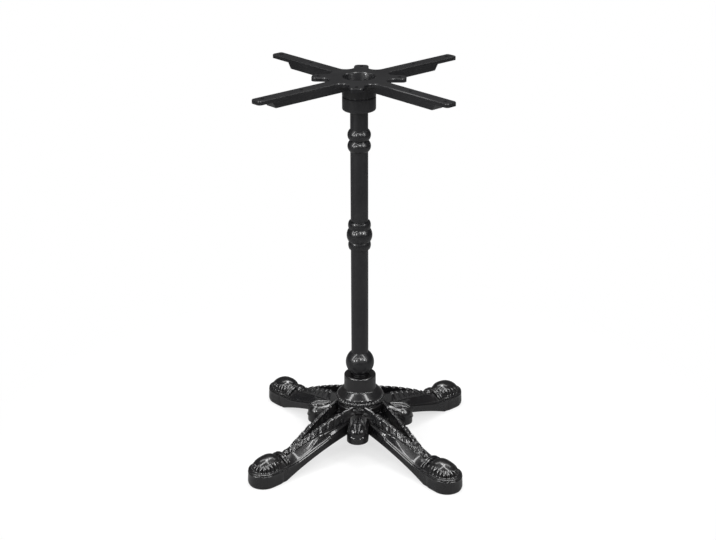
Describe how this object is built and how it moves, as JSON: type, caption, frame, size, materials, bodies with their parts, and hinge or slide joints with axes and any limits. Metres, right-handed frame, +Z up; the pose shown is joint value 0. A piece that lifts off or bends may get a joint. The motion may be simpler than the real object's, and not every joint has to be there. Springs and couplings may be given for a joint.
{
  "type": "cast iron table base",
  "caption": "Ornate cast iron pedestal base for a small table: leaf-carved splayed legs with ball feet, a ringed column and a flat armed spider that screws to the table top.",
  "frame": {"origin": "on the floor under the column's axis", "axes": "+Z up along the column; legs and arms on the diagonals, -Y is the front"},
  "size_m": [0.3918, 0.3918, 0.72],
  "materials": {
    "gloss_black_iron": "gloss black paint",
    "satin_black_iron": "satin black paint",
    "zinc_steel": "zinc plated"
  },
  "bodies": {
    "root": {"base_casting": "gloss_black_iron", "column": "satin_black_iron", "top_spider": "satin_black_iron", "tie_rod": "zinc_steel", "top_washer": "zinc_steel", "top_nut": "zinc_steel", "bottom_washer": "zinc_steel", "bottom_nut": "zinc_steel"}
  },
  "joints": []
}
